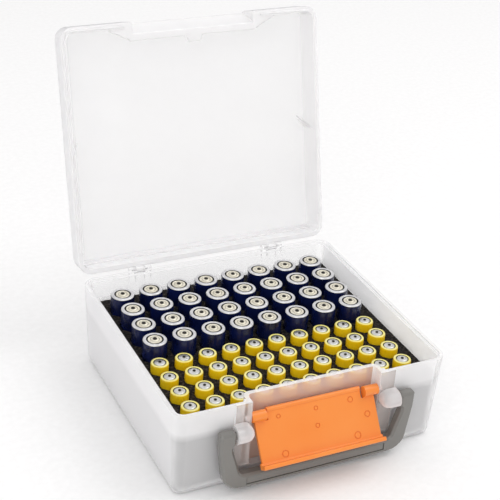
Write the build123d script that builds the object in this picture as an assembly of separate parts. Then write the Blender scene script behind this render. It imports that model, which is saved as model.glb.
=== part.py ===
from build123d import *
from cmath import phase, rect
from math import cos, pi, radians, sin, tan
import os

os.makedirs("parts", exist_ok=True)

# Millimetres. X runs to the right, Y to the back and Z up. The origin is the
# middle of the tray's underside, under the middle of its rim.

# Tray
RIM_X = 166.0                # outside of the rim
RIM_Y = 148.0
RIM_Z = 55.0
TRAY_DRAFT = 2.4             # the outside narrows by this on each side, rim to floor
CORNER_R = 7.5               # upright corners, seen from above, at the rim
CORNER_FLATS = 4             # short flats that draw each of them
BOTTOM_R = 4.5               # round edge under the tray
FLOOR = 2.0
RIM_WALL = 3.4               # wall at the rim, thinner towards the floor
CAVITY_DRAFT = 1.0
CAVITY_R = 2.4               # round edge of the cavity's floor
LEDGE = 1.7                  # outer part of the rim, higher than the rebate inside it
REBATE = 1.5

# Recess in the front wall, where the latch plate hangs
RECESS_HW = 39.0             # half width
RECESS_Y = -67.0             # its back wall's outside
RECESS_Z = 11.0              # its floor
RECESS_WALL = 2.4
RECESS_R = 2.5

# Pads beside the recess, which carry the latch's pins and the handle's bosses
PAD_HW = 49.3
PAD_Z = 13.0
PAD_Y = -74.5
PAD_R = 3.0
PAD_EDGE = 0.8

# Handle bosses
BOSS_Y = -78.0
BOSS_Z = 38.0
BOSS_R = 5.0
BOSS_HW = 49.5               # flat outer face
HANDLE_PIN_R = 2.2
PIVOT_GAP = 0.05             # radial clearance of every pin in its bore

# Lid, drawn closed and then turned open
LID_Z = 55.1
LID_TOP = 72.0
LID_DRAFT = 0.8
LID_WALL = 3.2
LID_PANEL = 2.0
LID_EDGE_R = 3.6
LID_OPEN = 104.2             # degrees from closed
LIP_WALL = 1.2               # locating lip that drops into the tray's rebate
LIP_DROP = 1.2
LIP_GAP = 0.3
LIP_BACK = 60.0              # the lip's ends, towards the hinge
LEDGE_Z = 69.5               # ledge that the latch's lip hooks over
LEDGE_BACK = -66.7
NOTCH_FACE = -71.7
NOTCH_KNEE_Z = 66.0
NOTCH_WALL = 2.2

# Hinge at the back rim
HINGE_Y = 75.6
HINGE_Z = 54.6
HINGE_R = 2.0
HINGE_PIN_R = 1.0
HINGE_X = 45.0               # middle of each hinge
HINGE_ARM = 5.4              # width of the lid's arm
HINGE_LUG = 4.0              # width of each tray lug
HINGE_GAP = 0.3
RELIEF_R = 2.35

# Latch plate, drawn closed about its own axis and then turned down
LATCH_Y = -72.5
LATCH_Z = 43.2
LATCH_SWING = 146.0
BARREL_R = 3.0
BARREL_END = 38.6
BARREL_IN = 30.1
BEAD_HW = 28.5
BEAD_R = 1.5
LATCH_PIN_R = 1.5
LATCH_PIN_OUT = 41.2
PLATE_HW = 36.5
PLATE_T = 2.0
PLATE_TOP = 28.8
LIP_HW = 38.4
LIP_T = 2.3
LIP_REACH = 4.0

# Carry handle
GRIP_T = 6.4                 # front to back
GRIP_TOP = 41.6
EYE_HW = 50.0                # inner faces beside the bosses
EYE_OUT = 59.3
NECK_HW = 51.5
HEEL_HW = 46.3
GRIP_OUT = 57.0
BAR_TOP = 12.5
BAR_LOW = 3.5
GRIP_CORNER = 11.0
GRIP_EDGE = 1.3

# Foam sheets
FOAM_SEAM = 27.4             # a 25.4 mm sheet lies on the floor
FOAM_TOP = 40.1              # and a 12.7 mm sheet on that
FOAM_GAP = 0.3               # to the walls
FOAM_SLACK = 0.3             # pocket beyond the cell, on the radius

# Cells
AA_R = 7.1
AA_TALL = 49.2
AA_X = 18.1
AA_Y = 17.4
AA_FRONT = 3.6
AA_COLUMNS = 8
AA_CAP_R = 2.75
AA_CAP = 1.3
AAA_R = 5.15
AAA_TALL = 43.5
AAA_X = 14.65
AAA_Y = 14.5
AAA_FRONT = -54.3
AAA_COLUMNS = 10
AAA_CAP_R = 1.9
AAA_CAP = 1.0
ROWS = 4
AA_SIDES = 12
AAA_SIDES = 10


def eased(points, radii, flats):
    """The polygon with its corners turned into short flats on an arc of the given radius."""
    spots = [complex(*point) for point in points]
    outline = []
    for i, (corner, r) in enumerate(zip(spots, radii)):
        if r == 0:
            outline.append(points[i])
            continue
        back = spots[i - 1] - corner
        ahead = spots[(i + 1) % len(spots)] - corner
        back, ahead = back / abs(back), ahead / abs(ahead)
        half = abs(phase(ahead / back)) / 2
        centre = corner + (back + ahead) / abs(back + ahead) * r / sin(half)
        arm = corner + back * r / tan(half) - centre
        sweep = phase((corner + ahead * r / tan(half) - centre) / arm)
        arc = [centre + arm * rect(1, sweep * step / flats) for step in range(flats + 1)]
        outline = outline + [(spot.real, spot.imag) for spot in arc]
    return outline


def soft_corners(x, y, r):
    """Points of a rectangle whose round corners are drawn with short flats."""
    corners = [(x / 2, y / 2), (-x / 2, y / 2), (-x / 2, -y / 2), (x / 2, -y / 2)]
    return eased(corners, [r] * 4, CORNER_FLATS)


def soft_outline(x, y, r):
    """Face of that rectangle."""
    return make_face(Polyline(*soft_corners(x, y, r), close=True))


def skinned(rings):
    """Solid with flat facets through a stack of point rings of equal length."""
    faces = [Face(Wire.make_polygon(rings[0])), Face(Wire.make_polygon(rings[-1]))]
    for low, high in zip(rings, rings[1:]):
        for i in range(len(low)):
            quad = [low[i - 1], low[i], high[i], high[i - 1]]
            faces.append(Face(Wire.make_polygon(quad)))
    return Solid(Shell(faces))


def soft_block(x, y, corner, levels):
    """Drafted block. Each level is (z, inset), and the corners shrink with the inset."""
    return skinned([[(px, py, z) for px, py in
                     soft_corners(x - 2 * inset, y - 2 * inset, corner - inset)]
                    for z, inset in levels])


def round_edge(z, inset, r, way, flats):
    """Levels of a round edge that starts on the flat at z and turns into the wall."""
    turns = [radians(90 * i / flats) for i in range(flats + 1)]
    return [(z + way * r * (1 - cos(turn)), inset + r * (1 - sin(turn))) for turn in turns]


def side_profile(points, x0, x1):
    """Solid between x0 and x1 whose section across the case is the polygon (y, z)."""
    start = Plane(origin=(x0, 0, 0), x_dir=(0, 1, 0), z_dir=(1, 0, 0))
    face = make_face(Polyline(*points, close=True))
    return extrude(start * face, amount=x1 - x0)


def rod(y, z, r, x0, x1, sides=0):
    """Round rod along X, or a prism whose corners lie on that circle."""
    start = Plane(origin=(x0, 0, 0), x_dir=(0, 1, 0), z_dir=(1, 0, 0))
    end = RegularPolygon(r, sides) if sides else Circle(r)
    return extrude(start * Pos(y, z) * end, amount=x1 - x0)


def block(x0, x1, y0, y1, z0, z1):
    """Box between the given limits."""
    middle = Pos((x0 + x1) / 2, (y0 + y1) / 2, (z0 + z1) / 2)
    return middle * Box(x1 - x0, y1 - y0, z1 - z0)


def both_sides(solid):
    """The solid and its mirror image across the case's middle plane."""
    return solid + mirror(solid, Plane.YZ)


def recess_block(grow, z0, z1):
    """The front recess grown by a wall, as a tool to cut or to spare."""
    half = RECESS_HW + grow
    back = RECESS_Y + grow
    outline = Pos(0, (back - 90) / 2) * Rectangle(2 * half, back + 90)
    corners = outline.vertices().filter_by(lambda v: abs(v.Y - back) < 0.01)
    outline = fillet(corners, RECESS_R + grow * 0.6)
    return extrude(Plane.XY.offset(z0) * outline, amount=z1 - z0)


# Base tray: drafted shell with the recess pressed into its front wall
body = soft_block(RIM_X, RIM_Y, CORNER_R,
                  round_edge(0, TRAY_DRAFT, BOTTOM_R, 1, 3) + [(RIM_Z, 0)])

cavity = soft_block(RIM_X - 2 * RIM_WALL, RIM_Y - 2 * RIM_WALL, CORNER_R - RIM_WALL,
                    round_edge(FLOOR, CAVITY_DRAFT, CAVITY_R, 1, 2) + [(RIM_Z, 0)])
cavity = cavity - recess_block(RECESS_WALL, RECESS_Z - RECESS_WALL, RIM_Z + 1)

pad_face = Pos((RECESS_HW + PAD_HW) / 2 - 1, (PAD_Z + RIM_Z) / 2) * Rectangle(
    PAD_HW - RECESS_HW + 2, RIM_Z - PAD_Z)
pad_corner = pad_face.vertices().sort_by(Axis.X)[-2:].sort_by(Axis.Y)[0]
pad_face = fillet(pad_corner, PAD_R)
pad_plane = Plane(origin=(0, PAD_Y, 0), x_dir=(1, 0, 0), z_dir=(0, -1, 0))
pad = extrude(pad_plane * pad_face, amount=-(abs(PAD_Y) - 71.0))
pad_rim = pad.faces().sort_by(Axis.Y)[0].edges().filter_by(Axis.Z)
pad = chamfer(pad_rim.sort_by(Axis.X)[-1], PAD_EDGE)


def boss_section(x, size):
    """Upright ring of a handle boss: round at the front and joined to the pad behind."""
    turns = [radians(turn) for turn in range(0, 181, 30)]
    arc = [(x, BOSS_Y - BOSS_R * size * sin(turn), BOSS_Z + BOSS_R * size * cos(turn))
           for turn in turns]
    neck = PAD_Y + 0.5
    return [(x, neck, arc[0][2])] + arc + [(x, neck, arc[-1][2])]


dome = RECESS_HW + BOSS_R
boss = skinned([boss_section(dome - BOSS_R * sin(radians(turn)), cos(radians(turn)))
                for turn in (75, 50, 25, 0)] + [boss_section(BOSS_HW, 1)])
boss_bore = rod(BOSS_Y, BOSS_Z, HANDLE_PIN_R + PIVOT_GAP, BOSS_HW - 5.0, BOSS_HW + 1)

lug_points = [(73.0, 45.0), (HINGE_Y + HINGE_R, 52.2), (HINGE_Y + HINGE_R, HINGE_Z),
              (73.0, HINGE_Z)]
arm_half = HINGE_ARM / 2
lug_in = HINGE_X - arm_half - HINGE_GAP
lug_out = HINGE_X + arm_half + HINGE_GAP


def hinge_lug(x0, x1):
    """One lug on the tray's back wall, without its bore."""
    return side_profile(lug_points, x0, x1) + rod(HINGE_Y, HINGE_Z, HINGE_R, x0, x1, 12)


lugs = hinge_lug(lug_in - HINGE_LUG, lug_in) + hinge_lug(lug_out, lug_out + HINGE_LUG)
lug_bores = rod(HINGE_Y, HINGE_Z, HINGE_PIN_R + PIVOT_GAP, lug_in - 1.9, lug_out + 1.9)
arm_relief = rod(HINGE_Y, HINGE_Z, RELIEF_R, lug_in, lug_out, 12)

rebate_x = RIM_X - 2 * LEDGE
rebate_y = RIM_Y - 2 * LEDGE
rebate = Plane.XY.offset(RIM_Z - REBATE) * soft_outline(rebate_x, rebate_y, CORNER_R - LEDGE)
rebate = extrude(rebate, amount=REBATE + 1)
rebate = rebate - block(-43, 43, -90, -62, 50, 60)

base_tray = body + both_sides(pad + boss)
base_tray = base_tray - recess_block(0, RECESS_Z, RIM_Z + 1)
base_tray = base_tray - cavity - rebate
base_tray = base_tray - both_sides(arm_relief) + both_sides(lugs)
latch_bore = rod(LATCH_Y, LATCH_Z, LATCH_PIN_R + PIVOT_GAP, RECESS_HW - 1, LATCH_PIN_OUT + 0.3)
base_tray = base_tray - both_sides(lug_bores + boss_bore + latch_bore)


# Lid: shallow drafted shell with a stepped notch over the recess
shell = soft_block(RIM_X, RIM_Y, CORNER_R,
                   [(LID_Z, 0)] + round_edge(LID_TOP, LID_DRAFT, LID_EDGE_R, -1, 3)[::-1])
hollow = soft_block(RIM_X - 2 * LID_WALL, RIM_Y - 2 * LID_WALL, CORNER_R - LID_WALL,
                    [(LID_Z, 0), (LID_TOP - LID_PANEL, LID_DRAFT - 0.2)])
hollow = hollow - block(-79, 79, 69.6, 76, 63.0, LID_TOP)

notch_points = [(-80, LID_Z - 3), (RECESS_Y, LID_Z - 3), (RECESS_Y, LID_Z),
                (NOTCH_FACE, NOTCH_KNEE_Z), (NOTCH_FACE, LEDGE_Z), (LEDGE_BACK, LEDGE_Z),
                (LEDGE_BACK, LID_TOP + 1), (-80, LID_TOP + 1)]
spare_points = [(-80, LID_Z), (RECESS_Y + 4.0, LID_Z), (RECESS_Y + 3.6, LID_Z + 1.5),
                (RECESS_Y + NOTCH_WALL, LID_Z + 1.5),
                (NOTCH_FACE + NOTCH_WALL, NOTCH_KNEE_Z), (NOTCH_FACE + NOTCH_WALL, 67.5),
                (LEDGE_BACK + NOTCH_WALL, 67.5), (LEDGE_BACK + NOTCH_WALL, LID_TOP), (-80, LID_TOP)]
notch = side_profile(notch_points, -RECESS_HW, RECESS_HW)
notch_spare = side_profile(spare_points, -RECESS_HW - NOTCH_WALL, RECESS_HW + NOTCH_WALL)

# Web across each inner corner of the rim beside the notch
web_outline = make_face(Polyline((39, -63.0), (53, -69.5), (53, -73), (39, -73), close=True))
web = extrude(Plane.XY.offset(LID_Z) * web_outline, amount=2.0)

lip_outer_x = RIM_X - 2 * (LEDGE + LIP_GAP)
lip_outer_y = RIM_Y - 2 * (LEDGE + LIP_GAP)
lip_r = CORNER_R - LEDGE - LIP_GAP
lip_ring = soft_outline(lip_outer_x, lip_outer_y, lip_r)
lip_ring = lip_ring - soft_outline(lip_outer_x - 2 * LIP_WALL, lip_outer_y - 2 * LIP_WALL,
                                   lip_r - LIP_WALL)
lip_ring = extrude(Plane.XY.offset(LID_Z - LIP_DROP) * lip_ring, amount=LIP_DROP + 0.2)
lip_ring = lip_ring - block(-44, 44, -90, -60, 50, 60) - block(-90, 90, LIP_BACK, 90, 50, 60)

# Small catch tab behind the notch, and a gusset inside each side wall
tab = Plane.XY.offset(LID_Z) * make_face(
    Polyline((-5.5, -64), (-4.0, -59.5), (4.0, -59.5), (5.5, -64), close=True))
tab = extrude(tab, amount=1.5)
gusset_plane = Plane(origin=(0, 4.0, 0), x_dir=(1, 0, 0), z_dir=(0, -1, 0))
gusset = gusset_plane * make_face(
    Polyline((80.5, 56.5), (73.5, 70.5), (80.5, 70.5), close=True))
gusset = extrude(gusset, amount=1.4)

arm_points = [(73.0, LID_Z + 0.4), (73.0, 63.0), (HINGE_Y + HINGE_R, 57.0),
              (HINGE_Y + HINGE_R, HINGE_Z), (HINGE_Y - 1.0, HINGE_Z)]
arm = side_profile(arm_points, HINGE_X - arm_half, HINGE_X + arm_half)
arm = arm + rod(HINGE_Y, HINGE_Z, HINGE_R, HINGE_X - arm_half, HINGE_X + arm_half, 12)
hinge_pin = rod(HINGE_Y, HINGE_Z, HINGE_PIN_R, lug_in - 1.6, lug_out + 1.6)
lug_relief = rod(HINGE_Y, HINGE_Z, RELIEF_R, lug_in - HINGE_LUG - HINGE_GAP, lug_in + 0.3, 12)
lug_relief = lug_relief + rod(HINGE_Y, HINGE_Z, RELIEF_R, lug_out - 0.3,
                              lug_out + HINGE_LUG + HINGE_GAP, 12)

lid_closed = shell - (hollow - notch_spare)
lid_closed = lid_closed - notch + both_sides(web) + lip_ring + tab + both_sides(gusset)
lid_closed = lid_closed - both_sides(lug_relief) + both_sides(arm + hinge_pin)
open_lid = Pos(0, HINGE_Y, HINGE_Z) * Rot(-LID_OPEN, 0, 0) * Pos(0, -HINGE_Y, -HINGE_Z)
lid = open_lid * lid_closed


# Latch plate: a thin plate that hangs from two barrels, with a hooked lip at its free edge
plate_outline = Pos(0, (PLATE_TOP - 2) / 2) * Rectangle(2 * PLATE_HW, PLATE_TOP + 2)
plate_outline = fillet(plate_outline.vertices().sort_by(Axis.Y)[:2], 1.0)
plate_plane = Plane(origin=(0, -3.0, 0), x_dir=(1, 0, 0), z_dir=(0, -1, 0))
plate = extrude(plate_plane * plate_outline, amount=-PLATE_T)
slot = block(BEAD_HW, BARREL_IN, -4, 4, -4, 3.4)
plate = plate - both_sides(slot) - both_sides(block(BARREL_IN, 40, -4, 4, -4, 0))
barrel = rod(0, 0, BARREL_R, BARREL_IN, BARREL_END)
latch_pin = rod(0, 0, LATCH_PIN_R, BARREL_IN + 2, LATCH_PIN_OUT)
bead = rod(-1.9, -2.0, BEAD_R, -BEAD_HW, BEAD_HW)
lip_points = [(-3.0, PLATE_TOP - 3.6), (-1.0, PLATE_TOP - 3.6), (-0.6, PLATE_TOP - LIP_T),
              (LIP_REACH - 1.0, PLATE_TOP - LIP_T), (LIP_REACH - 1.0, PLATE_TOP - 0.5),
              (LIP_REACH - 1.5, PLATE_TOP), (-2.4, PLATE_TOP), (-3.0, PLATE_TOP - 0.6)]
hook = side_profile(lip_points, -LIP_HW, LIP_HW)
finger_tab = side_profile([(-3.9, PLATE_TOP - 0.9), (-2.4, PLATE_TOP - 2.2), (-2.4, PLATE_TOP),
                           (-3.9, PLATE_TOP)], -16, 16)
latch_closed = plate + both_sides(barrel + latch_pin) + bead + hook + finger_tab
latch_plate = Pos(0, LATCH_Y, LATCH_Z) * Rot(LATCH_SWING, 0, 0) * latch_closed


# Carry handle: flat U that hangs on the bosses
grip_points = [(EYE_OUT, GRIP_TOP), (EYE_OUT, 33.0), (GRIP_OUT, 16.0), (GRIP_OUT - 1, BAR_LOW),
               (0, BAR_LOW), (0, BAR_TOP), (HEEL_HW, BAR_TOP), (NECK_HW, 30.0), (NECK_HW, 32.0),
               (EYE_HW, 33.6), (EYE_HW, GRIP_TOP)]
grip_radii = [1.6, 0, 0, GRIP_CORNER, 0, 0, 3.5, 0, 0, 0, 1.6]
half_u = make_face(Polyline(*eased(grip_points, grip_radii, 5), close=True))
grip_plane = Plane(origin=(0, BOSS_Y, 0), x_dir=(1, 0, 0), z_dir=(0, -1, 0))
grip = extrude(grip_plane * half_u, amount=GRIP_T / 2, both=True)
grip = grip + mirror(grip, Plane.YZ)
front_back = grip.faces().sort_by(Axis.Y)
grip = chamfer(front_back[0].edges() + front_back[-1].edges(), GRIP_EDGE)
panel = block(-42.8, 42.8, BOSS_Y - GRIP_T / 2 - 1, BOSS_Y - GRIP_T / 2 + 1.0, 5.9, 10.7)
handle_pin = rod(BOSS_Y, BOSS_Z, HANDLE_PIN_R, BOSS_HW - 4.7, EYE_HW + 2)
carry_handle = grip - panel + both_sides(handle_pin)


# Cells and the pockets that hold them
def cell_spots(columns, pitch_x, y):
    """Places of one row of cells."""
    first = -(columns - 1) / 2 * pitch_x
    return [(first + i * pitch_x, y) for i in range(columns)]


def prism_at(spots, radius, sides, z0, height):
    """Upright prisms at the spots. The radius is to a corner."""
    shape = RegularPolygon(radius, sides, rotation=180 / sides)
    places = [Pos(x, y, z0) for x, y in spots]
    return [place * extrude(shape, amount=height) for place in places]


aa_rows = [cell_spots(AA_COLUMNS, AA_X, AA_FRONT + i * AA_Y) for i in range(ROWS)]
aaa_rows = [cell_spots(AAA_COLUMNS, AAA_X, AAA_FRONT + i * AAA_Y) for i in range(ROWS)]


def foam_sheet(z0, z1, aa_sides, aaa_sides):
    """Foam sheet that fills the tray between two heights, with a pocket for each cell."""
    aa_hole = RegularPolygon((AA_R + FOAM_SLACK) / cos(pi / aa_sides), aa_sides,
                             rotation=180 / aa_sides)
    aaa_hole = RegularPolygon((AAA_R + FOAM_SLACK) / cos(pi / aaa_sides), aaa_sides,
                              rotation=180 / aaa_sides)
    holes = [Pos(x, y) * aa_hole for row in aa_rows for x, y in row]
    holes = holes + [Pos(x, y) * aaa_hole for row in aaa_rows for x, y in row]
    sheet = Rectangle(RIM_X, RIM_Y) - holes
    sheet = extrude(Plane.XY.offset(z0) * sheet, amount=z1 - z0)
    return sheet & foam_fill


wall_and_gap = 2 * (RIM_WALL + FOAM_GAP)
foam_fill = soft_block(RIM_X - wall_and_gap, RIM_Y - wall_and_gap, CORNER_R - RIM_WALL,
                       [(FLOOR, CAVITY_DRAFT + CAVITY_R), (FLOOR + CAVITY_R, CAVITY_DRAFT),
                        (RIM_Z, 0)])
notch_half = RECESS_HW + RECESS_WALL + FOAM_GAP
foam_fill = foam_fill - block(-notch_half, notch_half, -90, RECESS_Y + RECESS_WALL + FOAM_GAP,
                              0, RIM_Z + 1)
foam_lower_sheet = foam_sheet(FLOOR, FOAM_SEAM, 6, 6)
foam_top_sheet = foam_sheet(FOAM_SEAM, FOAM_TOP, 8, 8)

nodes = {
    "base_tray": base_tray,
    "lid": lid,
    "latch_plate": latch_plate,
    "carry_handle": carry_handle,
    "foam_top_sheet": foam_top_sheet,
    "foam_lower_sheet": foam_lower_sheet,
}
for i in range(ROWS):
    aa_tops = FLOOR + AA_TALL
    aaa_tops = FLOOR + AAA_TALL
    nodes[f"aa_cells_row_{i + 1}"] = Compound(
        prism_at(aa_rows[i], AA_R, AA_SIDES, FLOOR, AA_TALL))
    nodes[f"aa_terminals_row_{i + 1}"] = Compound(
        prism_at(aa_rows[i], AA_CAP_R, 6, aa_tops, AA_CAP))
    nodes[f"aaa_cells_row_{i + 1}"] = Compound(
        prism_at(aaa_rows[i], AAA_R, AAA_SIDES, FLOOR, AAA_TALL))
    nodes[f"aaa_terminals_row_{i + 1}"] = Compound(
        prism_at(aaa_rows[i], AAA_CAP_R, 6, aaa_tops, AAA_CAP))

for name, solid in nodes.items():
    export_step(solid, f"parts/{name}.step")
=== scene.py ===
from math import cos, pi, radians, sin

import bmesh
import bpy
from mathutils import Matrix, Vector


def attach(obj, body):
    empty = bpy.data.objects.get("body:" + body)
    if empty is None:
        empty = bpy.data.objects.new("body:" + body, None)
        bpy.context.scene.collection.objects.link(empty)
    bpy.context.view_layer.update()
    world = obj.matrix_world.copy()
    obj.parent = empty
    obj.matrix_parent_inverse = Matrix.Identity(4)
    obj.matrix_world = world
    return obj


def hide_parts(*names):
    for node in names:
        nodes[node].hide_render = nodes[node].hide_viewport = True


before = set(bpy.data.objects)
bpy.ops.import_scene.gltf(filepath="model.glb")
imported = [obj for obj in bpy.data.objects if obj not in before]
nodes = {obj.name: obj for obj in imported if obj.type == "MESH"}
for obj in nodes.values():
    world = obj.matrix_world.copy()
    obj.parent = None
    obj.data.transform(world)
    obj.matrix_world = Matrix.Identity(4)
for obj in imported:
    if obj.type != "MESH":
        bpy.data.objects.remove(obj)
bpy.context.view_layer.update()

MM = 0.001
FOAM_TOP = 40.1                 # top of the foam over the table, mm


# ---------------------------------------------------------------- materials

def linear(hex_colour):
    """An sRGB hex colour as linear RGBA."""
    channels = [int(hex_colour[i:i + 2], 16) / 255 for i in (1, 3, 5)]
    return [c / 12.92 if c <= 0.04045 else ((c + 0.055) / 1.055) ** 2.4 for c in channels] + [1.0]


def grey(level):
    """A linear grey, to carry a plain number through a ramp."""
    return (level, level, level, 1)


def add(owner, kind, settings=None, links=None, stops=None):
    """A node of that kind in a material or the world, with its settings, its linked inputs and
    a ramp's (position, colour) stops. An input goes by its name, or by its number where two
    inputs share a name."""
    node = owner.node_tree.nodes.new(kind)
    for key, value in (settings or {}).items():
        if isinstance(key, int) or key in node.inputs:
            node.inputs[key].default_value = value
        else:
            setattr(node, key, value)
    for key, source in (links or {}).items():
        owner.node_tree.links.new(source, node.inputs[key])
    if stops:
        elements = node.color_ramp.elements
        elements[0].position, elements[0].color = stops[0]
        elements[1].position, elements[1].color = stops[-1]
        for position, colour in stops[1:-1]:
            elements.new(position).color = colour
    return node


def new_material(name):
    """A node material with no nodes yet."""
    material = bpy.data.materials.new(name)
    material.use_nodes = True
    material.node_tree.nodes.clear()
    return material


def finish_material(material, shader):
    """Links the shader to a new output."""
    add(material, "ShaderNodeOutputMaterial", links={"Surface": shader.outputs["BSDF"]})
    return material


# Moulded plastic: width of the clouds in its tint, and how far its gloss wanders
FLOW_MM = 28
GLOSSIER, DULLER = 0.04, 0.05


def moulded(name, low, high, grain_mm, roughness, bump_mm, extra):
    """Moulded plastic: a faint uneven tint, and the fine texture of the mould's surface."""
    material = new_material(name)
    place = add(material, "ShaderNodeTexCoord").outputs["Object"]
    flow = add(material, "ShaderNodeTexNoise", {"Scale": 1 / (FLOW_MM * MM), "Detail": 2.0},
               {"Vector": place})
    tint = add(material, "ShaderNodeValToRGB", links={"Fac": flow.outputs["Fac"]},
               stops=[(0.2, linear(low)), (0.8, linear(high))])
    grain = add(material, "ShaderNodeTexNoise", {"Scale": 1 / (grain_mm * MM), "Detail": 3.0},
                {"Vector": place})
    bump = add(material, "ShaderNodeBump", {"Strength": 0.35, "Distance": bump_mm * MM},
               {"Height": grain.outputs["Fac"]})
    shine = add(material, "ShaderNodeMapRange",
                {"To Min": roughness - GLOSSIER, "To Max": roughness + DULLER},
                {"Value": grain.outputs["Fac"]})
    shader = add(material, "ShaderNodeBsdfPrincipled", extra,
                 {"Base Color": tint.outputs["Color"], "Roughness": shine.outputs["Result"],
                  "Normal": bump.outputs["Normal"]})
    return finish_material(material, shader)


# Frosted walls: light spreads sideways in them by this much, and the change at the foam's top
# runs from BLUR_BELOW under it to BLUR_ABOVE over it, mm
LIGHT_SPREAD = 3
BLUR_BELOW, BLUR_ABOVE = 3, 2
# A wall seen along its length gets a painted grey shade in its colour, which draws the case's
# outline
ALONG_FROM, ALONG_TO, OUTLINE_SHADE_GREY = 0.68, 0.95, "#c9c9cb"


def frosted(name, haze, left_clear=1.0, roughness=0.30, low="#f7f6f8", high="#fbfafb"):
    """Clear polypropylene, injection moulded, milky and satin. It hides more of what is behind
    where the eye looks through it at a slant. The haze is one skin's, seen square on and at
    growing slants. Above the foam, where nothing touches the wall, its clear part is changed
    by the factor left_clear."""
    material = moulded(name, low, high, 0.9, roughness, 0.012,
                       {"IOR": 1.49, "Subsurface Weight": 0.6,
                        "Subsurface Scale": LIGHT_SPREAD * MM,
                        "Subsurface Radius": (1.0, 1.0, 1.0)})
    slant = add(material, "ShaderNodeLayerWeight", {"Blend": 0.5}).outputs["Facing"]
    veil = add(material, "ShaderNodeValToRGB", links={"Fac": slant},
               stops=[(position, grey(weight)) for position, weight in haze]).outputs["Color"]
    if left_clear != 1.0:
        # one less the clear part, and the clear part is one less the veil
        place = add(material, "ShaderNodeTexCoord").outputs["Object"]
        height = add(material, "ShaderNodeSeparateXYZ", links={"Vector": place}).outputs["Z"]
        factor = add(material, "ShaderNodeMapRange",
                     {"From Min": (FOAM_TOP - BLUR_BELOW) * MM,
                      "From Max": (FOAM_TOP + BLUR_ABOVE) * MM,
                      "To Min": 1.0, "To Max": left_clear}, {"Value": height})
        clear = add(material, "ShaderNodeMath", {"operation": "SUBTRACT", 0: 1.0}, {1: veil})
        seen = add(material, "ShaderNodeMath", {"operation": "MULTIPLY"},
                   {0: clear.outputs["Value"], 1: factor.outputs["Result"]})
        hidden = add(material, "ShaderNodeMath",
                     {"operation": "SUBTRACT", "use_clamp": True, 0: 1.0},
                     {1: seen.outputs["Value"]})
        veil = hidden.outputs["Value"]
    shader = next(node for node in material.node_tree.nodes if node.type == "BSDF_PRINCIPLED")
    material.node_tree.links.new(veil, shader.inputs["Alpha"])
    # painted shade: the colour turns grey where the wall is seen along its length
    along = add(material, "ShaderNodeValToRGB", links={"Fac": slant},
                stops=[(ALONG_FROM, grey(0)), (ALONG_TO, grey(1))])
    tint = shader.inputs["Base Color"].links[0].from_socket
    shade = add(material, "ShaderNodeMixRGB", {"Color2": linear(OUTLINE_SHADE_GREY)},
                {"Fac": along.outputs["Color"], "Color1": tint})
    material.node_tree.links.new(shade.outputs["Color"], shader.inputs["Base Color"])
    return material


# The walls show what stands close behind them as a soft grey. Their edges are thick and white.
# Above the foam, the front hides the cells behind it, and the rear is bright with the light
# that comes through it.
HAZE = [(0.0, 0.30), (0.22, 0.37), (0.42, 0.48), (0.6, 0.62), (0.85, 0.95)]
wall_plastic = frosted("frosted polypropylene", HAZE)
edge_plastic = frosted("frosted polypropylene edge", [(0.0, 0.62), (0.4, 0.74), (0.8, 0.96)])
front_plastic = frosted("frosted polypropylene before the foam", HAZE, left_clear=0.45)
rear_plastic = frosted("frosted polypropylene behind the foam", HAZE, left_clear=1.45)

# The recess, pads and bosses come polished from the mould. The first two have the latch's orange
# light painted into their colour as a warm tint: a painted reflection.
recess_painted_orange = frosted("polished polypropylene",
                         [(0.0, 0.36), (0.22, 0.42), (0.42, 0.52), (0.6, 0.64), (0.85, 0.94)],
                         roughness=0.16, low="#fed2c0", high="#ffdfd2")
# the pad's warm tint is a painted orange reflection of the latch
pad_painted_orange = frosted("polished polypropylene pad with painted orange reflection",
                      [(0.0, 0.20), (0.22, 0.24), (0.42, 0.34), (0.6, 0.5), (0.85, 0.92)],
                      roughness=0.16, low="#fbeae3", high="#fdf1ec")
boss_plastic = frosted("polished polypropylene boss",
                       [(0.0, 0.46), (0.3, 0.52), (0.6, 0.72), (0.85, 0.95)],
                       roughness=0.10, low="#fbf4f4", high="#fffafa")

# Polypropylene coloured through, from a polished mould: satin and slightly waxy
latch_plastic = moulded("orange polypropylene", "#f2852c", "#f5923e", 1.2, 0.30, 0.01,
                        {"IOR": 1.49, "Coat Weight": 0.15, "Coat Roughness": 0.2})

# ABS from a lightly spark-eroded mould: satin grey with soft highlights
grip_plastic = moulded("satin grey ABS", "#716f6b", "#7a7873", 0.5, 0.24, 0.015,
                       {"IOR": 1.53, "Coat Weight": 0.5, "Coat Roughness": 0.1})


def cut_foam(pore_mm, mottle_mm):
    """Polyethylene foam, cut to size: black, dull, with small open pores on its cut faces."""
    material = new_material("cut polyethylene foam")
    place = add(material, "ShaderNodeTexCoord").outputs["Object"]
    pores = add(material, "ShaderNodeTexVoronoi", {"Scale": 1 / (pore_mm * MM)},
                {"Vector": place})
    mottle = add(material, "ShaderNodeTexNoise", {"Scale": 1 / (mottle_mm * MM), "Detail": 4.0},
                 {"Vector": place})
    tint = add(material, "ShaderNodeValToRGB", links={"Fac": mottle.outputs["Fac"]},
               stops=[(0.38, linear("#0e0d0d")), (0.54, linear("#262220")),
                      (0.70, linear("#4c443e"))])
    bump = add(material, "ShaderNodeBump", {"Strength": 0.9, "Distance": 0.25 * MM},
               {"Height": pores.outputs["Distance"]})
    shader = add(material, "ShaderNodeBsdfPrincipled",
                 {"Roughness": 0.92, "Specular IOR Level": 0.25},
                 {"Base Color": tint.outputs["Color"], "Normal": bump.outputs["Normal"]})
    return finish_material(material, shader)


foam = cut_foam(pore_mm=1.1, mottle_mm=1.6)


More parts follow.
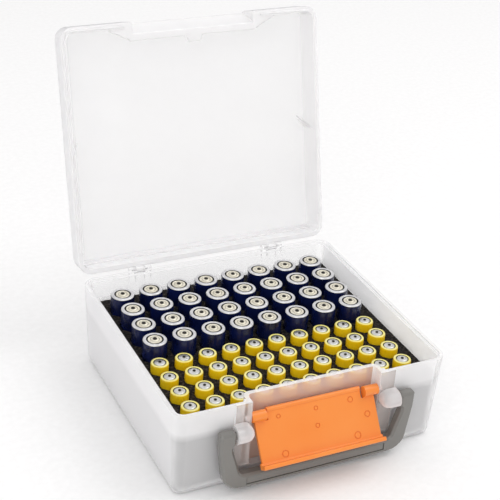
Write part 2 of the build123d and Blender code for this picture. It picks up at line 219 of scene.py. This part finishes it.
def thin_skin(name, dark, light, grain_mm, detail, strength, bump_mm, settings):
    """A thin skin over a can: its colour and its surface wander together."""
    material = new_material(name)
    place = add(material, "ShaderNodeTexCoord").outputs["Object"]
    waves = add(material, "ShaderNodeTexNoise", {"Scale": 1 / (grain_mm * MM), "Detail": detail},
                {"Vector": place})
    tint = add(material, "ShaderNodeValToRGB", links={"Fac": waves.outputs["Fac"]},
               stops=[(0.3, linear(dark)), (0.7, linear(light))])
    bump = add(material, "ShaderNodeBump", {"Strength": strength, "Distance": bump_mm * MM},
               {"Height": waves.outputs["Fac"]})
    shader = add(material, "ShaderNodeBsdfPrincipled", settings,
                 {"Base Color": tint.outputs["Color"], "Normal": bump.outputs["Normal"]})
    return finish_material(material, shader)


def sleeve(name, dark, light, roughness):
    """PVC shrink sleeve: thin coloured film, glossy, with the faint waves of its shrinking."""
    return thin_skin(name, dark, light, 7, 1.0, 0.25, 0.1, {"Roughness": roughness, "IOR": 1.53})


navy_sleeve = sleeve("navy shrink sleeve", "#081034", "#101c50", 0.26)
yellow_sleeve = sleeve("yellow shrink sleeve", "#f2ca0c", "#f9d71c", 0.30)
# painted highlight: the rim's top is coloured a paler yellow, as if lit from above
rim_top_painted_light = sleeve("yellow sleeve with a painted highlight on the rim's top", "#efe27e", "#f6ee9e", 0.36)
black_ring = sleeve("black insulating ring", "#050506", "#0b0b0c", 0.7)


def plated_steel(name, dark, light, roughness, metallic):
    """Nickel-plated steel, pressed: bright, with an uneven film that softens its reflections."""
    return thin_skin(name, dark, light, 2.4, 3.0, 0.2, 0.03,
                     {"Roughness": roughness, "Metallic": metallic})


rim_steel = plated_steel("nickel-plated rim", "#d3d3d6", "#e9e9ea", 0.36, 0.8)
bright_steel = plated_steel("nickel-plated steel", "#cfcfcd", "#e6e6e4", 0.34, 0.85)
warm_steel = plated_steel("nickel-plated cap", "#e2dcc8", "#f6f1e2", 0.38, 0.6)
# painted shade: the step pressed in the cap and the foot of the nub are coloured darker
step_shade_steel = plated_steel("painted shade in the cap's step", "#a49e8c", "#b8b2a0", 0.5, 0.6)
# painted reflection: the nub is coloured near black, standing in for the dark it reflects
nub_painted_dark = plated_steel("nub with a painted dark reflection", "#16130f", "#2a251d", 0.5, 0.3)


# ------------------------------------------------------------------ the cells

WELD = 0.004                    # points of a profile closer than this are one, mm


def band_distance(profile, i, radius, height):
    """Square of how far a face's middle is from the middle of band i."""
    r = (profile[i - 1][0] + profile[i][0]) / 2 * MM
    z = (profile[i - 1][1] + profile[i][1]) / 2 * MM
    return (radius - r) ** 2 + (height - z) ** 2


def spun(profile, sides):
    """A mesh spun about Z from (radius, height, material index) points in millimetres.
    The index belongs to the band that ends at its point."""
    mesh = bmesh.new()
    line = [mesh.verts.new((r * MM, 0, z * MM)) for r, z, _ in profile]
    edges = [mesh.edges.new(pair) for pair in zip(line, line[1:])]
    bmesh.ops.spin(mesh, geom=line + edges, cent=(0, 0, 0), axis=(0, 0, 1), angle=2 * pi,
                   steps=sides, use_merge=True)
    bmesh.ops.remove_doubles(mesh, verts=mesh.verts, dist=WELD * MM)
    bmesh.ops.recalc_face_normals(mesh, faces=mesh.faces)
    for face in mesh.faces:
        middle = face.calc_center_median()
        # the middle of a flat facet lies inside its circle
        radius = Vector((middle.x, middle.y)).length / cos(pi / sides)
        best = min(range(1, len(profile)),
                   key=lambda i: band_distance(profile, i, radius, middle.z))
        face.material_index = profile[best][2]
        face.smooth = True
    return mesh


CELL_FLOOR = 2.0                # the cells stand on the tray's floor, mm
CELL_SIDES = 40


def row_piece(name, profile, spots, materials, body, cad):
    """One row of cells as one piece, which stands for its CAD nodes."""
    mesh = bmesh.new()
    single = bpy.data.meshes.new(name + "_one")
    cell = spun(profile, CELL_SIDES)
    cell.to_mesh(single)
    cell.free()
    for x, y in spots:
        start = len(mesh.verts)
        mesh.from_mesh(single)
        mesh.verts.ensure_lookup_table()
        bmesh.ops.translate(mesh, verts=mesh.verts[start:],
                            vec=(x * MM, y * MM, CELL_FLOOR * MM))
    data = bpy.data.meshes.new(name)
    mesh.to_mesh(data)
    mesh.free()
    bpy.data.meshes.remove(single)
    for material in materials:
        data.materials.append(material)
    piece = bpy.data.objects.new(name, data)
    bpy.context.scene.collection.objects.link(piece)
    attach(piece, body)
    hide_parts(*cad)


SLEEVE, SILVER, RING, CAP, SHADED_STEP, NUB = range(6)

# Large cell, (radius, height, band): sleeve, bright rim, black ring, cap, its step and the nub's
# foot with painted shade, and nub with a painted dark reflection
large_cell = [
    (0.0, 0.0, SILVER), (5.6, 0.0, SILVER), (6.5, 0.25, SLEEVE), (7.0, 0.8, SLEEVE),
    (7.09, 1.5, SLEEVE), (7.09, 25.0, SLEEVE), (7.09, 48.2, SLEEVE), (7.05, 48.75, SLEEVE),
    (6.98, 48.9, RING), (6.9, 48.95, RING), (6.86, 49.25, SILVER), (6.6, 49.5, SILVER),
    (6.2, 49.6, SILVER), (5.2, 49.6, SILVER), (5.0, 49.5, SILVER), (4.95, 49.2, RING),
    (4.95, 48.5, RING), (4.1, 48.5, RING), (4.1, 49.2, RING), (4.05, 49.5, CAP),
    (3.9, 49.6, CAP), (2.75, 49.62, CAP), (2.7, 49.5, SHADED_STEP), (2.4, 49.5, SHADED_STEP),
    (2.35, 49.72, CAP), (1.35, 49.75, CAP), (1.15, 49.75, SHADED_STEP), (1.12, 50.15, NUB),
    (0.95, 50.25, NUB), (0.0, 50.25, NUB)]

# Small cell: the sleeve is rolled over the can's top edge, whose top is painted a paler yellow as
# a painted highlight
small_cell = [
    (0.0, 0.0, SILVER), (4.1, 0.0, SILVER), (4.7, 0.2, SLEEVE), (5.08, 0.7, SLEEVE),
    (5.14, 1.3, SLEEVE), (5.14, 22.0, SLEEVE), (5.14, 42.4, SLEEVE), (5.1, 42.9, SLEEVE),
    (4.98, 43.25, SLEEVE), (4.85, 43.4, CAP), (4.5, 43.5, CAP), (3.75, 43.5, CAP),
    (3.68, 43.4, CAP), (3.65, 42.6, RING), (3.2, 42.6, RING), (3.15, 43.35, SILVER),
    (3.0, 43.5, SILVER), (1.9, 43.58, SILVER), (0.95, 43.75, SILVER), (0.85, 43.75, SHADED_STEP),
    (0.82, 44.1, NUB), (0.65, 44.2, NUB), (0.0, 44.2, NUB)]

# Kind, profile, its bands' materials, cells in a row, their pitch, first row's y, rows' pitch
cell_kinds = [
    ("aa", large_cell, [navy_sleeve, rim_steel, black_ring, warm_steel, step_shade_steel, nub_painted_dark],
     8, 18.1, 3.6, 17.4),
    ("aaa", small_cell,
     [yellow_sleeve, bright_steel, black_ring, rim_top_painted_light, step_shade_steel, nub_painted_dark],
     10, 14.65, -54.3, 14.5)]
for i in range(4):
    for kind, profile, materials, count, pitch, first_y, row_pitch in cell_kinds:
        spots = [((j - (count - 1) / 2) * pitch, first_y + i * row_pitch) for j in range(count)]
        row_piece(f"{kind}_row_{i + 1}", profile, spots, materials, f"{kind}_row_{i + 1}",
                  (f"{kind}_cells_row_{i + 1}", f"{kind}_terminals_row_{i + 1}"))


# -------------------------------------------------------------- moulded pieces

def dress(name, material):
    """Gives a CAD node its material."""
    data = nodes[name].data
    data.materials.clear()
    data.materials.append(material)


dress("foam_top_sheet", foam)
dress("foam_lower_sheet", foam)

# At rest the lid stands open and the latch hangs down, each turned by its angle about its line
LID_OPEN, LATCH_DOWN = 104.2, 146
HINGE_LINE = Vector((0, 75.6, 54.6)) * MM
LATCH_LINE = Vector((0, -72.5, 43.2)) * MM
lid_shut = (Matrix.Translation(HINGE_LINE) @ Matrix.Rotation(radians(LID_OPEN), 4, "X")
            @ Matrix.Translation(-HINGE_LINE))
latch_upright = (Matrix.Rotation(radians(-LATCH_DOWN), 4, "X")
                 @ Matrix.Translation(-LATCH_LINE))

MERGE = 0.002                   # corners of the triangles closer than this are one, mm
FLAT = 0.4                      # degrees by which neighbours in one flat face may differ
SMOOTH = 33                     # degrees up to which an edge is shaded smooth


def mould_copy(node, place=Matrix()):
    """The CAD node's mesh with its triangles merged into flat faces, moved by a matrix."""
    mesh = bmesh.new()
    mesh.from_mesh(nodes[node].data)
    bmesh.ops.remove_doubles(mesh, verts=mesh.verts, dist=MERGE * MM)
    bmesh.ops.dissolve_limit(mesh, angle_limit=radians(FLAT), verts=mesh.verts,
                             edges=mesh.edges)
    bmesh.ops.transform(mesh, matrix=place, verts=mesh.verts)
    return mesh


def sharp_edges(mesh, least, chosen):
    """Edges that turn by more than that many degrees and whose two ends are both chosen."""
    return [edge for edge in mesh.edges
            if edge.is_manifold and edge.calc_face_angle() > radians(least)
            and all(chosen(*(vert.co / MM)) for vert in edge.verts)]


def round_off(mesh, edges, size, segments, index=0):
    """Rounds the edges. The new narrow faces get the material index."""
    done = bmesh.ops.bevel(mesh, geom=edges, offset=size * MM, offset_type="OFFSET",
                           segments=segments, profile=0.5, affect="EDGES", clamp_overlap=True,
                           material=-1)
    for face in done["faces"]:
        face.material_index = index


def whiten_rim(mesh, is_rim):
    """Gives the rim's level faces the edge material, chosen by their height."""
    for face in mesh.faces:
        if is_rim(face.calc_center_median().z / MM) and abs(face.normal.z) > 0.7:
            face.material_index = EDGE


def cut_away(mesh, cutter):
    """The mesh less the closed cutter, as a new mesh. Both are used up."""
    solids = []
    for part in (mesh, cutter):
        data = bpy.data.meshes.new("blank")
        part.to_mesh(data)
        part.free()
        solid = bpy.data.objects.new("blank", data)
        bpy.context.scene.collection.objects.link(solid)
        solids.append(solid)
    cut = solids[0].modifiers.new("cut", "BOOLEAN")
    cut.operation = "DIFFERENCE"
    cut.solver = "EXACT"
    cut.object = solids[1]
    shaped = solids[0].evaluated_get(bpy.context.evaluated_depsgraph_get())
    result = bmesh.new()
    result.from_mesh(shaped.to_mesh())
    shaped.to_mesh_clear()
    for solid in solids:
        data = solid.data
        bpy.data.objects.remove(solid)
        bpy.data.meshes.remove(data)
    return result


def moulding(name, mesh, node, body, materials, place=Matrix()):
    """The finished mesh as a piece that stands for its CAD node, put back by the matrix."""
    bmesh.ops.transform(mesh, matrix=place, verts=mesh.verts)
    for face in mesh.faces:
        face.smooth = True
    for edge in mesh.edges:
        edge.smooth = edge.is_manifold and edge.calc_face_angle() < radians(SMOOTH)
    data = bpy.data.meshes.new(name)
    mesh.to_mesh(data)
    mesh.free()
    for material in materials:
        data.materials.append(material)
    piece = bpy.data.objects.new(name, data)
    bpy.context.scene.collection.objects.link(piece)
    even = piece.modifiers.new("even shading", "WEIGHTED_NORMAL")
    even.keep_sharp = True
    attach(piece, body)
    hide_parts(node)


# Tray: each region takes its own plastic, by where the middle of its face is. The rim is soft,
# and so are the bosses' outer edges.
WALL, EDGE, RECESS, BOSS, PAD, REAR = range(6)
tray = mould_copy("base_tray")
for face in tray.faces:
    x, y, z = face.calc_center_median() / MM
    if x > 76.0 or y > 68.0:
        face.material_index = REAR
    elif abs(x) < 38.9 and -67.5 < y < -64.0 and 11.0 < z < 54.0:
        face.material_index = RECESS
    elif 38.5 < abs(x) < 50.5 and y < -66.5 and z < 32.5:
        face.material_index = PAD
    elif y < -74.8 and 32.5 < z < 43.5 and 38.5 < abs(x) < 50.0:
        face.material_index = BOSS
round_off(tray, sharp_edges(tray, 40, lambda x, y, z: z > 53.3 and y < 73.5), 0.4, 2, EDGE)
round_off(tray, sharp_edges(tray, 60, lambda x, y, z: y < -76.0 and abs(x) > 38.5), 0.3, 2, EDGE)
whiten_rim(tray, lambda z: z > 53.4)
moulding("tray", tray, "base_tray", "tray",
         [front_plastic, edge_plastic, recess_painted_orange, boss_plastic, pad_painted_orange, rear_plastic])

# Lid: the same soft rim, round corners at the notch and slanted ribs inside its side walls.
# It is worked on shut and then turned back open.
NOTCH_SIDE = 39.0
RIB_SLANT = 7.0                 # a rib's end at the panel is this much nearer to the front
cover = mould_copy("lid", lid_shut)
for vert in cover.verts:
    x, y, z = vert.co / MM
    if 72.5 < abs(x) < 74.5 and 2.0 < y < 4.5 and z > 69.0:
        vert.co.y -= RIB_SLANT * MM
round_off(cover, sharp_edges(cover, 40,
                             lambda x, y, z: abs(abs(x) - NOTCH_SIDE) < 0.2 and y < -72.5),
          2.0, 3, WALL)
round_off(cover, sharp_edges(cover, 40, lambda x, y, z: z < 56.0 and y < 73.0), 0.35, 2, EDGE)
whiten_rim(cover, lambda z: z < 55.3)
moulding("cover", cover, "lid", "lid", [wall_plastic, edge_plastic],
         lid_shut.inverted())

# Latch plate, worked on upright and then turned back down. Its lip is about 1 mm shorter at
# each end than the solid's, and its ends are round.
LIP_HALF = 37.4
flap = mould_copy("latch_plate", latch_upright)
for vert in flap.verts:
    x, y, z = vert.co / MM
    if abs(x) > 38.0 and z > 20.0:
        vert.co.x = LIP_HALF * MM * (1 if x > 0 else -1)
round_off(flap, sharp_edges(flap, 40, lambda x, y, z: abs(x) > 37.2 and z > 20), 1.6, 3)

# The ejector pins of the mould have left round grooves on the plate's inner face:
# (x, height over the pivot, outer radius)
EJECTOR_MARKS = [(-22.4, 2.6, 1.3), (0.3, 2.9, 1.3), (21.7, 2.6, 1.7), (30.5, 12.4, 1.8),
                 (-0.5, 12.3, 1.4), (-22.3, 23.0, 2.0), (22.3, 22.6, 2.1)]
INNER_FACE = -1.0
GROOVE_WIDTH, GROOVE_DEPTH = 0.45, 0.5
CUTTER_LENGTH = 1.5             # from the groove's floor out past the face
marks = bmesh.new()
for x, z, r in EJECTOR_MARKS:
    outer = bmesh.ops.create_circle(marks, segments=24, radius=r * MM)["verts"]
    inner = bmesh.ops.create_circle(marks, segments=24, radius=(r - GROOVE_WIDTH) * MM)["verts"]
    both = list({edge for vert in outer + inner for edge in vert.link_edges})
    ring = bmesh.ops.bridge_loops(marks, edges=both)["faces"]
    grown = bmesh.ops.extrude_face_region(marks, geom=ring)["geom"]
    end = [item for item in grown if isinstance(item, bmesh.types.BMVert)]
    bmesh.ops.translate(marks, verts=end, vec=(0, 0, CUTTER_LENGTH * MM))
    whole = outer + inner + end
    # the ring's axis turns from Z to Y, and its end sinks into the plate's inner face
    bmesh.ops.rotate(marks, verts=whole, cent=(0, 0, 0),
                     matrix=Matrix.Rotation(radians(-90), 3, "X"))
    bmesh.ops.translate(marks, verts=whole,
                        vec=(x * MM, (INNER_FACE - GROOVE_DEPTH) * MM, z * MM))
bmesh.ops.recalc_face_normals(marks, faces=marks.faces)
flap = cut_away(flap, marks)
moulding("latch", flap, "latch_plate", "latch", [latch_plastic],
         latch_upright.inverted())

# Carry handle: soft edges, save round the panel in its bar, which gets a groove
PANEL_FACE = -79.9              # the panel's face lies just in front of this, y in mm
grip = mould_copy("carry_handle")
round_off(grip, sharp_edges(grip, 30, lambda x, y, z: abs(x) < 59.5 and z > 3 and not
                            (y < PANEL_FACE and 5.5 < z < 11.0 and abs(x) < 43.2)), 0.5, 3)
panel = []
for face in grip.faces:
    x, y, z = face.calc_center_median() / MM
    if face.normal.y < -0.9 and -80.5 < y < PANEL_FACE and 5.0 < z < 11.5:
        panel.append(face)
bmesh.ops.inset_region(grip, faces=panel, thickness=0.45 * MM, depth=0.7 * MM,
                       use_even_offset=True, use_boundary=True)
moulding("handle", grip, "carry_handle", "handle", [grip_plastic])


# ------------------------------------------------------- floor, light, camera

def floor_material():
    """Matt white card, seen by the camera as plain white paper with the object's shadow."""
    material = new_material("matt white card")
    place = add(material, "ShaderNodeTexCoord").outputs["Object"]
    fibre = add(material, "ShaderNodeTexNoise", {"Scale": 1 / (4 * MM), "Detail": 2.0},
                {"Vector": place})
    tint = add(material, "ShaderNodeValToRGB", links={"Fac": fibre.outputs["Fac"]},
               stops=[(0.3, linear("#fbfbfb")), (0.7, linear("#ffffff"))])
    shader = add(material, "ShaderNodeBsdfPrincipled", {"Roughness": 0.9},
                 {"Base Color": tint.outputs["Color"]})
    return finish_material(material, shader)


def make_floor(half_width):
    """A large plain floor just under the case."""
    mesh = bmesh.new()
    bmesh.ops.create_grid(mesh, x_segments=1, y_segments=1, size=half_width)
    data = bpy.data.meshes.new("floor")
    mesh.to_mesh(data)
    mesh.free()
    data.materials.append(floor_material())
    floor = bpy.data.objects.new("floor", data)
    bpy.context.scene.collection.objects.link(floor)


make_floor(6.0)

LIT_POINT = (0, 0, 0.05)


def area_light(name, place, size, watts):
    """A soft square lamp that faces the case."""
    lamp = bpy.data.lights.new(name, "AREA")
    lamp.size = size
    lamp.energy = watts
    holder = bpy.data.objects.new(name, lamp)
    holder.location = place
    facing = Vector(LIT_POINT) - Vector(place)
    holder.rotation_euler = facing.to_track_quat("-Z", "Y").to_euler()
    bpy.context.scene.collection.objects.link(holder)


area_light("key softbox", (0.9, -0.2, 1.5), 1.0, 5.5)
area_light("overhead softbox", (-0.1, 0.1, 1.7), 1.6, 2)
area_light("front fill", (-0.9, -1.1, 1.0), 1.2, 5)


def studio_world(colour, strength):
    """A pale studio all round, and plain white where the camera sees it."""
    world = bpy.data.worlds.new("pale studio")
    world.use_nodes = True
    world.node_tree.nodes.clear()
    light = add(world, "ShaderNodeBackground", {"Color": linear(colour), "Strength": strength})
    seen = add(world, "ShaderNodeBackground", {"Color": grey(1), "Strength": 1.0})
    path = add(world, "ShaderNodeLightPath")
    see_through = add(world, "ShaderNodeMath", {"operation": "MAXIMUM"},
                      {0: path.outputs["Is Camera Ray"], 1: path.outputs["Is Transmission Ray"]})
    mix = add(world, "ShaderNodeMixShader",
              links={"Fac": see_through.outputs["Value"], 1: light.outputs["Background"],
                     2: seen.outputs["Background"]})
    add(world, "ShaderNodeOutputWorld", links={"Surface": mix.outputs["Shader"]})
    bpy.context.scene.world = world


studio_world("#f9f8f8", 0.82)


def make_camera(place, yaw, pitch, roll, lens):
    """The photograph's viewpoint: in front, to the left and above. Angles are in radians."""
    ahead = Vector((sin(yaw) * cos(pitch), cos(yaw) * cos(pitch), -sin(pitch)))
    level = Vector((cos(yaw), -sin(yaw), 0))
    upward = level.cross(ahead)
    right = level * cos(roll) + upward * sin(roll)
    up = upward * cos(roll) - level * sin(roll)
    camera = bpy.data.cameras.new("camera")
    camera.lens = lens
    camera.sensor_width = 36.0
    camera.clip_start = 0.01
    holder = bpy.data.objects.new("camera", camera)
    turn = Matrix((right, up, -ahead)).transposed().to_4x4()
    holder.matrix_world = Matrix.Translation(place) @ turn
    bpy.context.scene.collection.objects.link(holder)
    bpy.context.scene.camera = holder


make_camera((-0.2975, -0.5594, 0.4485), radians(27.283), radians(28.881), radians(4.154), 92.22)
bpy.context.scene.view_settings.view_transform = "Standard"
